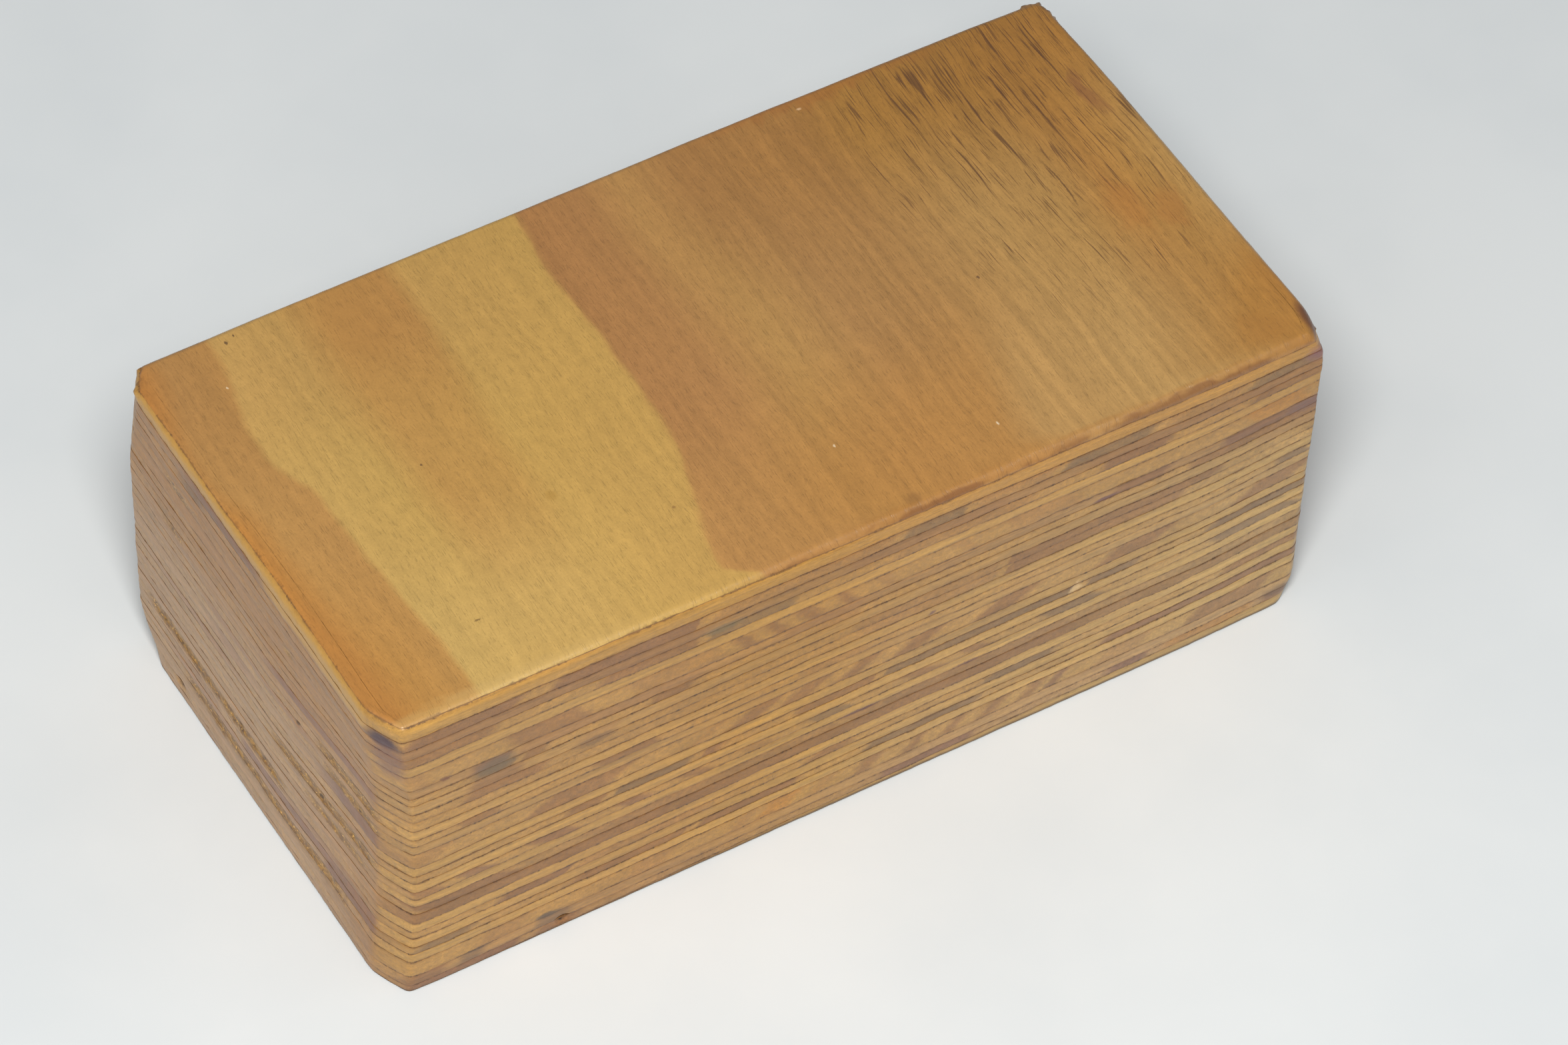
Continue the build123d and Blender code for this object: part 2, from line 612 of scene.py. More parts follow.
class Nodes:
    """Adds nodes to one material. An input may be a number, a colour or another node's socket."""

    def __init__(self, name):
        self.material = bpy.data.materials.new(name)
        self.material.use_nodes = True
        self.tree = self.material.node_tree
        self.shader = self.tree.nodes["Principled BSDF"]

    def add(self, kind, **settings):
        node = self.tree.nodes.new(kind)
        for key, value in settings.items():
            setattr(node, key, value)
        return node

    def set(self, socket, value):
        if isinstance(value, bpy.types.NodeSocket):
            self.tree.links.new(value, socket)
        else:
            socket.default_value = value

    def math(self, operation, *values):
        node = self.add("ShaderNodeMath", operation=operation)
        for socket, value in zip(node.inputs, values):
            self.set(socket, value)
        return node.outputs[0]

    def times(self, first, *others):
        """The product of two or more numbers."""
        product = first
        for other in others:
            product = self.math("MULTIPLY", product, other)
        return product

    def vector(self, operation, *values):
        node = self.add("ShaderNodeVectorMath", operation=operation)
        for socket, value in zip(node.inputs, values):
            self.set(socket, value)
        return node.outputs["Value" if operation == "LENGTH" else "Vector"]

    def noise(self, place, scale, detail=3.0, roughness=0.55):
        """Noise from 0 to 1. scale is how many waves to a millimetre along x, y and d."""
        return self.noise_node(place, scale, detail, roughness).outputs["Fac"]

    def noise_node(self, place, scale, detail, roughness):
        node = self.add("ShaderNodeTexNoise")
        node.inputs["Scale"].default_value = 1.0
        node.inputs["Detail"].default_value = detail
        node.inputs["Roughness"].default_value = roughness
        self.set(node.inputs["Vector"], self.vector("MULTIPLY", place, scale))
        return node

    def range(self, value, start, end, low=0.0, high=1.0, smooth=True):
        node = self.add("ShaderNodeMapRange", interpolation_type="SMOOTHSTEP" if smooth else "LINEAR")
        node.clamp = True
        for socket, part in zip(node.inputs, (value, start, end, low, high)):
            self.set(socket, part)
        return node.outputs[0]

    def fall(self, value, start, end):
        """1 before start, 0 after end, smooth between them."""
        return self.range(value, start, end, 1.0, 0.0)

    def spread(self, value, low, high, start=0.3, end=0.7):
        """A noise as a number from low to high."""
        return self.range(value, start, end, low, high, smooth=False)

    def mix(self, factor, first, second, blend="MIX"):
        node = self.add("ShaderNodeMix", data_type="RGBA", blend_type=blend)
        node.clamp_factor = True
        for place, value in zip((0, 6, 7), (factor, first, second)):
            self.set(node.inputs[place], value)
        return node.outputs[2]

    def tint(self, colour, factor, amount=1.0):
        """colour multiplied by factor, a colour or a socket, as far as amount says."""
        return self.mix(amount, colour, factor, "MULTIPLY")

    def grey(self, value):
        """A colour with the same number in red, green and blue."""
        node = self.add("ShaderNodeCombineColor")
        for socket in node.inputs[:3]:
            self.set(socket, value)
        return node.outputs[0]

    def glue_distance(self):
        """How far the point being shaded is from a glue line, in millimetres."""
        return self.add("ShaderNodeAttribute", attribute_name="glue_distance").outputs["Fac"]

    def ramp(self, value, stops):
        """A colour ramp through stops, a list of (place from 0 to 1, colour)."""
        node = self.add("ShaderNodeValToRGB")
        elements = node.color_ramp.elements
        elements[0].position, elements[0].color = stops[0]
        elements[1].position, elements[1].color = stops[-1]
        for place, colour in stops[1:-1]:
            element = elements.new(place)
            element.color = colour
        self.set(node.inputs["Fac"], value)
        return node.outputs["Color"]

    def block_place(self):
        """(x, y, d) in millimetres at the point being shaded."""
        coordinates = self.add("ShaderNodeTexCoord").outputs["Object"]
        flipped = self.vector("MULTIPLY", coordinates, (1 / MM, 1 / MM, -1 / MM))
        return self.vector("ADD", flipped, (MID_X, MID_Y, HEIGHT))

    def split(self, vector):
        node = self.add("ShaderNodeSeparateXYZ")
        self.set(node.inputs[0], vector)
        return node.outputs

    def wobble(self, place, waves, amount):
        """place moved about by noise, for ragged outlines."""
        node = self.noise_node(place, waves, 2.0, 0.5)
        centred = self.vector("SUBTRACT", node.outputs["Color"], (0.5, 0.5, 0.5))
        return self.vector("ADD", place, self.vector("MULTIPLY", centred, amount))

    def blot(self, place, centre, size):
        """1 at centre, falling to 0 at size from it along each axis. An axis of size 0 isn't used."""
        shrink = [1 / part if part else 0.0 for part in size]
        offset = self.vector("MULTIPLY", self.vector("SUBTRACT", place, centre), shrink)
        return self.fall(self.vector("LENGTH", offset), 0.35, 1.0)

    def finish(self, colour, roughness, height, bump_depth, coat, coat_roughness):
        self.set(self.shader.inputs["Base Color"], colour)
        self.set(self.shader.inputs["Roughness"], roughness)
        self.shader.inputs["Coat Weight"].default_value = coat
        self.shader.inputs["Coat Roughness"].default_value = coat_roughness
        self.shader.inputs["Coat IOR"].default_value = LACQUER_IOR
        bump = self.add("ShaderNodeBump")
        bump.inputs["Strength"].default_value = 1.0
        bump.inputs["Distance"].default_value = bump_depth * MM
        self.set(bump.inputs["Height"], height)
        self.tree.links.new(bump.outputs["Normal"], self.shader.inputs["Normal"])
        return self.material


# ---- colours of the wood

# What a mark multiplies the wood's colour by.
TINTS = {
    "brown": (0.71, 0.64, 0.74, 1),
    "faint": (0.90, 0.86, 0.91, 1),
    "grey": (0.60, 0.62, 0.86, 1),
    "purple": (0.66, 0.59, 0.80, 1),
    "orange": (1.04, 0.90, 0.66, 1),
    "none": (1, 1, 1, 1),
}

# Marks on the long faces by veneer: how far a mark leans along x for each millimetre down, then each
# mark's start, end and tint. Both long faces show them, because the grain carries a mark through.
LONG_FACE_MARKS = {
    "upper_03": (0.8, [
        (4, 27, "purple"), (34, 66, "purple"), (66, 106, "faint"), (107, 122, "grey"),
        (123, 141, "faint"), (142, 162, "grey"), (165, 182, "faint"), (184, 200, "grey")]),
    "upper_04": (0, [(4, 66, "faint"), (96, 130, "faint"), (148, 200, "faint")]),
    "upper_05": (0.5, [
        (4, 22, "brown"), (44, 65, "brown"), (66, 85, "grey"), (106, 136, "faint"),
        (151, 166, "purple"), (184, 200, "brown")]),
    "upper_07": (-0.8, [
        (4, 9, "faint"), (26, 41, "brown"), (51, 69, "faint"), (73, 76, "brown"), (79.5, 82.5, "brown"),
        (86, 90, "brown"), (94.5, 97, "brown"), (103, 106, "faint"), (120, 123, "faint"),
        (131, 146, "faint"), (184, 197, "orange")]),
    "upper_08": (0.5, [
        (18, 26, "purple"), (27, 66, "faint"), (83, 100, "faint"), (154, 166, "brown"),
        (178, 200, "purple")]),
    "upper_09": (0.6, [
        (18, 27, "grey"), (27, 33, "brown"), (55, 63, "brown"), (90, 99, "faint"), (171, 200, "brown")]),
    "upper_10": (0.3, [(17, 28, "brown"), (40, 48, "faint"), (186, 200, "faint")]),
    "upper_11": (0.8, [(16, 33, "brown"), (98, 130, "faint"), (130, 178, "brown")]),
    "middle_01": (0.5, [(99, 130, "faint"), (130, 170, "brown")]),
    "middle_03": (-1.0, [
        (15, 23, "brown"), (43, 56, "brown"), (87, 101, "faint"), (192, 200, "grey")]),
    "middle_05": (1.7, [
        (4, 12, "faint"), (31, 49, "brown"), (65.5, 68.5, "faint"), (73.5, 80.5, "brown"),
        (84.5, 91, "brown"), (96.5, 101.5, "brown"), (109, 115.5, "brown"), (126, 136, "brown"),
        (153, 166, "brown"), (183, 195, "brown")]),
    "middle_07": (0.8, [
        (37, 46, "brown"), (46, 64, "grey"), (65, 70, "purple"), (86, 104, "brown"), (104, 147, "grey"),
        (148, 160, "grey"), (176, 198, "grey")]),
    "middle_09": (-1.8, [
        (4, 10, "brown"), (14.5, 20, "purple"), (29.5, 38, "purple"), (48, 54, "purple"),
        (62, 67, "brown"), (75, 80, "faint"), (88.5, 97, "grey"), (110, 117, "brown"),
        (123, 128, "brown"), (141, 153, "grey"), (179, 200, "grey")]),
    "middle_11": (-2.5, [(4, 24, "brown"), (40, 96, "faint"), (96, 147, "faint")]),
    "lower_01": (0.4, [(4, 60, "faint"), (60, 146, "faint")]),
    "lower_03": (1.2, [
        (24, 40, "purple"), (40, 68, "faint"), (89, 98, "brown"), (127, 142, "grey"), (180, 200, "brown")]),
    "lower_05": (1.2, [
        (7, 18, "grey"), (39, 64, "brown"), (65, 86, "purple"), (101, 126, "grey"),
        (153, 197, "purple")]),
    "lower_07": (0.9, [
        (20, 29, "faint"), (51, 60, "faint"), (73, 77, "faint"), (79, 86, "orange"), (90, 94, "faint"),
        (99.5, 104, "brown"), (110.5, 113.5, "brown"), (119, 122, "brown"), (127, 131, "brown"),
        (136, 139.5, "brown"), (142, 144.5, "purple"), (153, 163, "faint"), (173, 190, "brown")]),
    "lower_08": (0.6, [(4, 12, "brown"), (15, 20, "grey"), (31, 38, "grey")]),
    "lower_09": (0.5, [
        (4, 27, "purple"), (31, 40, "brown"), (105, 125, "purple"), (155, 164, "purple"),
        (168, 188, "orange"), (190, 200, "brown")]),
}

# Marks on the ends by veneer, along y.
END_MARKS = {
    "upper_03": [(47, 76, "purple")],
    "upper_04": [(70, 78, "grey")],
    "upper_10": [(0, 40, "faint")],
    "upper_11": [(0, 46, "purple")],
    "middle_03": [(30, 70, "faint")],
    "middle_05": [(0, 26, "purple"), (52, 68, "faint")],
    "middle_07": [(60, 90, "faint")],
    "lower_03": [(16, 42, "faint")],
    "lower_04": [(0, 62, "purple"), (64, 86, "faint")],
    "lower_05": [(0, 30, "purple"), (32, 88, "faint")],
}

# The colour of a veneer's edge on the long faces where it isn't its kind's usual one.
LONG_FACE_COLOURS = {
    "upper_02": (198, 158, 88),
    "upper_04": (173, 136, 90),
    "upper_08": (175, 138, 90),
    "upper_10": (187, 150, 94),
    "upper_11": (183, 145, 88),
    "middle_04": (187, 150, 94),
    "middle_11": (175, 139, 90),
    "lower_01": (162, 124, 78),
    "lower_08": (186, 148, 98),
    "lower_09": (180, 143, 96),
}

FRONT_END_GRAIN = (189, 150, 91)
FRONT_LONG_GRAIN = (198, 160, 97)
END_LONG_GRAIN = linear(178, 139, 98)
END_END_GRAIN = linear(182, 143, 98)
RESIN = linear(92, 60, 36)
MARK_EDGE = 1.2  # half the width over which a mark fades
END_MARK_EDGE = 4.5
# What yellowed lacquer and soaked resin multiply a colour by.
WARM = (0.91, 0.77, 0.51, 1)
WARM_END = (0.88, 0.70, 0.36, 1)
YELLOWED = (1.0, 0.97, 0.74, 1)
SOAKED = (0.82, 0.74, 0.66, 1)
STOPS_TO_A_RAMP = 32


def mark_ramps(nodes, along, marks, length, softness):
    """The product of the marks' tints at a place along a face."""
    product = None
    per_ramp = (STOPS_TO_A_RAMP - 2) // 4
    plain = TINTS["none"]
    for first in range(0, len(marks), per_ramp):
        stops = []
        for start, end, tint in marks[first : first + per_ramp]:
            edge = min(softness, (end - start) / 3)
            stops += [(start - edge, plain), (start + edge, TINTS[tint])]
            stops += [(end - edge, TINTS[tint]), (end + edge, plain)]
        stops = [(min(max(place / length, 0), 1), colour) for place, colour in stops]
        stops.sort(key=lambda stop: stop[0])
        part = nodes.ramp(nodes.math("DIVIDE", along, length), stops)
        product = part if product is None else nodes.tint(product, part)
    return product


def wood_tone(nodes, place, cross, seed):
    """A grey factor near 1 that carries the grain: long lines along it, flecks across it."""
    along, over = (1.0, 0.035) if cross else (0.035, 1.0)
    shifted = nodes.vector("ADD", place, (seed * 17.3, seed * 9.1, seed * 5.7))
    figure = nodes.noise(shifted, (0.10 * along + 0.004, 0.10 * over + 0.004, 0.22), 3.0, 0.6)
    grain = nodes.noise(shifted, (1.1 * along, 1.1 * over, 1.5), 5.0, 0.65)
    fleck = nodes.noise(shifted, (3.6 * along, 3.6 * over, 4.2), 3.0, 0.6)
    mottle = nodes.noise(shifted, (0.75, 0.75, 1.1), 4.0, 0.7)
    tone = nodes.times(
        nodes.spread(figure, 0.84, 1.16, 0.25, 0.75),
        nodes.spread(grain, 0.78, 1.22, 0.25, 0.75),
        nodes.spread(mottle, 0.88, 1.12),
    )
    dark = nodes.range(fleck, 0.26, 0.44, 0.76, 1.0)
    return nodes.times(tone, dark), grain, fleck


def facing_end(nodes):
    """1 where a face looks along x, as the two ends do, and 0 where it looks along y."""
    normal_x, normal_y, _ = nodes.split(nodes.add("ShaderNodeTexCoord").outputs["Normal"])
    facing = nodes.math("SUBTRACT", nodes.math("ABSOLUTE", normal_x), nodes.math("ABSOLUTE", normal_y))
    return nodes.range(facing, 0.40, 0.95)


def long_face_colour(nodes, veneer, place, ragged):
    """A veneer's edge on the long faces: its marks, under lacquer yellowed toward the top and left."""
    name, top, base = veneer
    usual = FRONT_END_GRAIN if is_cross(name) else FRONT_LONG_GRAIN
    colour = linear(*LONG_FACE_COLOURS.get(short_name(name), usual))
    if short_name(name) in LONG_FACE_MARKS:
        lean, marks = LONG_FACE_MARKS[short_name(name)]
        x, _, depth = nodes.split(ragged)
        along = nodes.math("MULTIPLY_ADD", depth, lean, x)
        along = nodes.math("SUBTRACT", along, lean * (top + base) / 2)
        colour = nodes.tint(colour, mark_ramps(nodes, along, marks, LENGTH, MARK_EDGE))
    x, _, depth = nodes.split(place)
    from_corner = nodes.math("MULTIPLY_ADD", depth, 0.9, x)
    warmth = nodes.range(from_corner, 110, 230, 1.0, 0.0, smooth=False)
    warmth = nodes.times(warmth, nodes.range(x, 10, 70, 0.8, 1.0))
    warmth = nodes.math("MAXIMUM", warmth, nodes.range(depth, 10, 34, 0.9, 0.0))
    yellowed = nodes.times(nodes.range(x, 52, 76), nodes.range(x, 86, 112, 0.8, 0.0))
    return nodes.tint(nodes.tint(colour, WARM, warmth), YELLOWED, yellowed)


def end_colour(nodes, name, place, ragged):
    """A veneer's edge on the ends: its marks, under lacquer yellowed toward the top and front."""
    colour = END_LONG_GRAIN if is_cross(name) else END_END_GRAIN
    if short_name(name) in END_MARKS:
        y = nodes.split(ragged)[1]
        marks = mark_ramps(nodes, y, END_MARKS[short_name(name)], WIDTH, END_MARK_EDGE)
        colour = nodes.tint(colour, marks)
    _, y, depth = nodes.split(place)
    at_front, at_top = nodes.range(y, 2, 36, 0.85, 0.0), nodes.range(depth, 14, 42, 0.95, 0.0)
    return nodes.tint(colour, WARM_END, nodes.math("MAXIMUM", at_front, at_top))


def veneer_material(index):
    """The cut edge of one veneer, seen on all four sides, under satin lacquer."""
    name, top, base = VENEERS[index]
    nodes = Nodes(name + "_wood")
    place = nodes.block_place()
    ragged = nodes.wobble(place, (0.22, 0.22, 0.5), (3.0, 3.0, 0.6))
    ragged = nodes.wobble(ragged, (1.4, 1.4, 1.8), (1.3, 1.3, 0.5))
    on_end = facing_end(nodes)
    front = long_face_colour(nodes, VENEERS[index], place, ragged)
    colour = nodes.mix(on_end, front, end_colour(nodes, name, place, ragged))
    tone, grain, fleck = wood_tone(nodes, place, is_cross(name), index + 1)
    colour = nodes.tint(colour, nodes.grey(tone))
    cloud = nodes.noise(place, (0.035, 0.05, 0.09), 2.0)
    colour = nodes.tint(colour, TINTS["faint"], nodes.range(cloud, 0.35, 0.7, 0.0, 0.35))
    if index == len(VENEERS) - 1:
        # Painted contact shadow: the last veneer darkens toward the base, where the block meets the floor.
        painted_contact_shadow = nodes.range(nodes.split(place)[2], HEIGHT - 1.2, HEIGHT - 0.4, 0.0, 0.75)
        colour = nodes.mix(painted_contact_shadow, colour, linear(66, 44, 32))
    colour = torn_fibres(nodes, place, colour, on_end, top, base)
    if index in (1, 2):
        colour = golden_edge(nodes, place, colour, on_end)
    colour = soaked_edges(nodes, place, colour, on_end)
    strength = nodes.math("MULTIPLY_ADD", on_end, -0.45, 0.55 if index == 1 else 0.65)
    colour = glue_stain(nodes, place, colour, strength)
    colour = stains_and_hole_shade(nodes, ragged, colour, top, base)
    height = nodes.math("ADD", grain, nodes.range(fleck, 0.26, 0.5, 0.0, 0.8))
    return nodes.finish(colour, nodes.spread(grain, 0.40, 0.58), height, 0.05, 0.30, 0.32)


def torn_fibres(nodes, place, colour, on_end, top, base):
    """Torn end grain on the left end: mustard fibres with dark holes and bright tips."""
    x, y, depth = nodes.split(nodes.wobble(place, (0.5, 0.4, 0.9), (0, 7.0, 1.4)))
    within = None
    for start, end, upper, lower, _ in TORN:
        if lower < top - 1 or upper > base + 1:
            continue
        fade = min(4, (end - start) / 3)
        part = nodes.times(
            nodes.fall(y, end - fade, end + fade / 2),
            nodes.range(y, start - fade / 2, start + fade),
            nodes.range(depth, upper - 0.4, upper + 0.4),
            nodes.fall(depth, lower - 0.4, lower + 0.4),
        )
        within = part if within is None else nodes.math("MAXIMUM", within, part)
    if within is None:
        return colour
    at_left = nodes.times(on_end, nodes.fall(x, 8, 12))
    mottled = nodes.noise(place, (0.6, 0.45, 1.1), 5.0, 0.7)
    fibres = nodes.mix(nodes.range(mottled, 0.38, 0.62), linear(126, 84, 36), linear(182, 134, 58))
    holes = nodes.noise(place, (1.2, 0.8, 1.7), 3.0, 0.65)
    fibres = nodes.mix(nodes.range(holes, 0.54, 0.66, 0.0, 0.8), fibres, linear(80, 52, 28))
    tips = nodes.noise(nodes.vector("ADD", place, (31, 47, 13)), (1.8, 1.5, 1.9), 2.0)
    fibres = nodes.mix(nodes.range(tips, 0.62, 0.69, 0.0, 0.9), fibres, linear(238, 188, 100))
    amount = nodes.times(within, at_left, nodes.range(mottled, 0.3, 0.5, 0.75, 1.0))
    return nodes.mix(amount, colour, fibres)


def golden_edge(nodes, place, colour, on_end):
    """Thick yellow lacquer round the top edge, more orange toward the right of the long faces."""
    ragged = nodes.wobble(place, (0.12, 0.12, 0.4), (8.0, 8.0, 1.6))
    ragged = nodes.wobble(ragged, (0.6, 0.6, 0.5), (3.0, 3.0, 1.2))
    x, y, depth = nodes.split(ragged)
    near_top = nodes.fall(depth, 4.6, 6.2)
    orange = nodes.times(nodes.range(x, 70, 130, 0.0, 0.5), nodes.math("SUBTRACT", 1.0, on_end))
    colour = nodes.tint(colour, TINTS["orange"], nodes.times(orange, near_top))
    shallow = nodes.fall(depth, 2.6, 3.6)
    gold = nodes.times(nodes.fall(y, 40, 52), near_top)
    gold = nodes.times(nodes.math("MAXIMUM", gold, shallow), on_end)
    return nodes.mix(nodes.times(gold, 0.8), colour, linear(204, 155, 70))


def soaked_edges(nodes, place, colour, on_end):
    """A broad faint stain beside the glue lines of the long faces."""
    distance = nodes.glue_distance()
    patchy = nodes.noise(place, (0.09, 0.09, 0.4), 4.0, 0.65)
    reach = nodes.range(patchy, 0.35, 0.65, 0.35, 1.0)
    amount = nodes.range(nodes.math("DIVIDE", distance, reach), 0.1, 1.0, 0.55, 0.0)
    amount = nodes.times(amount, nodes.math("MULTIPLY_ADD", on_end, -0.8, 1.0))
    return nodes.tint(colour, SOAKED, amount)


def glue_stain(nodes, place, colour, strength):
    """Resin soaked into the wood beside a glue line, in broken stretches."""
    distance = nodes.glue_distance()
    breakup = nodes.noise(place, (0.16, 0.16, 0.5), 4.0, 0.7)
    short = nodes.noise(place, (1.1, 1.1, 0.9), 2.0, 0.6)
    reach = nodes.range(breakup, 0.40, 0.68, 0.03, 0.34)
    reach = nodes.times(reach, nodes.range(short, 0.32, 0.68, 0.3, 1.7))
    near = nodes.math("DIVIDE", distance, reach)
    amount = nodes.times(nodes.fall(near, 0.2, 1.1), strength)
    colour = nodes.mix(amount, colour, RESIN)
    dots = nodes.noise(place, (1.7, 1.7, 0.6), 2.0, 0.6)
    dots = nodes.times(nodes.range(dots, 0.54, 0.66), nodes.range(breakup, 0.40, 0.56))
    dots = nodes.times(dots, nodes.fall(distance, 0.10, 0.34))
    return nodes.mix(nodes.times(dots, strength), colour, linear(58, 36, 24))


# Dark and pale spots: x, y, depth, their half sizes (0 for an axis that doesn't count), colour, strength.
# The darkest spots sit in the holes of PITS and are painted shade inside them; the others are stains and
# pale splinters.
SPOTS = [
    ((36.2, 0, 74.0), (1.0, 6, 1.1), (24, 16, 20), 1.0),
    ((17.5, 0, 71.2), (3.8, 6, 0.9), (92, 74, 58), 0.75),
    ((33.0, 0, 70.6), (3.8, 6, 1.0), (86, 72, 60), 0.8),
    ((22.5, 0, 20.4), (5.5, 6, 3.0), (108, 92, 70), 0.65),
    ((43.0, 0, 25.6), (6.0, 6, 1.6), (112, 82, 58), 0.6),
    ((12.4, 0, 18.0), (1.3, 6, 0.8), (112, 66, 50), 0.7),
    ((69.5, 0, 9.6), (6.0, 6, 1.3), (116, 104, 74), 0.5),
    ((146.6, 0, 43.2), (2.0, 6, 1.0), (212, 178, 128), 0.95),
    ((147.4, 0, 42.0), (0.7, 6, 1.6), (206, 170, 118), 0.9),
    ((146.8, 0, 40.2), (1.6, 6, 1.6), (178, 136, 78), 0.5),
    ((114.5, 0, 31.4), (1.1, 6, 0.8), (112, 76, 74), 0.8),
    ((100, 0, 50.9), (6.0, 6, 0.6), (96, 60, 62), 0.75),
    ((123, 0, 50.8), (4.0, 6, 0.5), (112, 72, 70), 0.6),
    ((152, 0, 20.3), (3.5, 6, 0.7), (96, 58, 76), 0.7),
    ((195, 0, 71.5), (6.0, 6, 1.8), (104, 82, 66), 0.55),
    ((197, 0, 19), (6.0, 8, 2.6), (120, 92, 90), 0.5),
    ((199, 0, 5.5), (5.0, 8, 3.0), (128, 80, 96), 0.6),
    ((1.5, 4.0, 5.4), (4.5, 6, 2.6), (72, 42, 46), 1.0),
    ((1.5, 3.0, 11.0), (5.0, 6, 7.0), (112, 76, 76), 0.6),
    ((0, 84, 72.0), (6, 1.3, 1.1), (34, 24, 28), 1.0),
    ((0, 17.2, 46.2), (6, 0.9, 0.6), (58, 40, 30), 0.9),
    ((0, 28, 46.6), (6, 0.9, 0.6), (58, 40, 30), 0.8),
    ((0, 35.2, 32.8), (6, 0.8, 0.7), (58, 40, 30), 0.8),
    ((112, WIDTH, 33.0), (2.4, 6, 1.2), (52, 36, 30), 0.9),
    ((64, WIDTH, 58.5), (2.0, 6, 1.0), (48, 34, 30), 0.9),
    ((LENGTH, 40, 57.0), (6, 2.0, 1.0), (52, 38, 30), 0.9),
    ((LENGTH, 71, 45.5), (6, 2.4, 1.1), (56, 40, 32), 0.9),
]


def stains_and_hole_shade(nodes, place, colour, top, base):
    """The stains, and the painted shade in the holes, that reach into the veneer between these depths."""
    for centre, size, spot_colour, strength in SPOTS:
        if centre[2] + size[2] < top or centre[2] - size[2] > base:
            continue
        amount = nodes.times(nodes.blot(place, centre, size), strength)
        colour = nodes.mix(amount, colour, linear(*spot_colour))
    return colour


# Colour bands of the face veneer from the left end to the right, near the back, halfway and near the
# front: where a band is full, and its colour.
# The back row is darker than the front partly as painted shade, the light falling off toward the back.
FACE_BANDS = {
    "back": [
        (0, (184, 122, 54)), (6, (176, 128, 70)), (15.6, (177, 129, 69)), (17.2, (192, 150, 83)),
        (30, (189, 147, 80)), (38, (182, 134, 69)), (53, (180, 130, 67)), (57, (189, 147, 79)),
        (81.8, (191, 150, 78)), (83.0, (170, 119, 67)), (95, (172, 122, 69)), (104, (178, 132, 73)),
        (116, (168, 120, 65)), (140, (168, 119, 60)), (152, (167, 119, 52)), (170, (164, 115, 48)),
        (185, (163, 113, 47)), (LENGTH, (168, 117, 50))],
    "middle": [
        (0, (186, 126, 56)), (6, (185, 137, 74)), (15.6, (184, 136, 74)), (17.2, (196, 157, 86)),
        (30, (194, 155, 82)), (38, (188, 142, 74)), (50, (189, 144, 74)), (56, (195, 154, 80)),
        (81.8, (195, 153, 80)), (83.0, (174, 123, 70)), (96, (176, 126, 72)), (110, (183, 138, 76)),
        (126, (173, 127, 73)), (140, (173, 127, 71)), (160, (183, 140, 79)), (175, (181, 137, 74)),
        (186, (178, 126, 60)), (193, (183, 134, 66)), (LENGTH, (186, 142, 78))],
    "front": [
        (0, (182, 124, 58)), (6, (186, 134, 66)), (15.6, (186, 138, 73)), (17.2, (200, 163, 92)),
        (45, (201, 162, 90)), (60, (199, 159, 85)), (81.8, (197, 155, 82)), (83.0, (184, 134, 74)),
        (92, (182, 132, 72)), (112, (181, 130, 66)), (128, (182, 130, 67)), (143, (183, 132, 69)),
        (151, (188, 144, 84)), (175, (189, 147, 86)), (184, (183, 139, 78)), (190, (180, 133, 70)),
        (LENGTH, (176, 124, 56))],
}


def face_band_colour(nodes, place):
    """The bands, whose edges wander as the veneer's grain does, with painted shade deepening toward the
    back.
    """
    ragged = nodes.wobble(place, (0.05, 0.02, 0.1), (2.5, 0, 0))
    ragged = nodes.wobble(ragged, (0.6, 0.16, 0.4), (1.5, 0, 0))
    x = nodes.split(ragged)[0]
    _, y, _ = nodes.split(place)
    bow = nodes.times(nodes.range(y, 4, 44, 10.0, 1.4), nodes.range(y, 0, 6, 0.4, 1.0))
    bow = nodes.times(bow, nodes.fall(y, 84, 100))
    bow = nodes.times(bow, nodes.range(x, 45, 68))
    dip = nodes.times(nodes.range(y, 55, 69, 0.0, 4.0), nodes.fall(y, 73, 98))
    sway = nodes.math("ADD", nodes.range(y, 0, 60, -3.6, -0.8), dip)
    sway = nodes.times(sway, nodes.fall(x, 22, 36))
    along = nodes.math("DIVIDE", nodes.math("ADD", x, nodes.math("ADD", bow, sway)), LENGTH)
    colours = {}
    for row, bands in FACE_BANDS.items():
        stops = [(band_x / LENGTH, linear(*band)) for band_x, band in bands]
        colours[row] = nodes.ramp(along, stops)
    # Blending the rows by y paints shade that deepens from the front to the back.
    colour = nodes.mix(nodes.range(y, 12, 48), colours["front"], colours["middle"])
    return nodes.mix(nodes.range(y, 52, 92), colour, colours["back"])


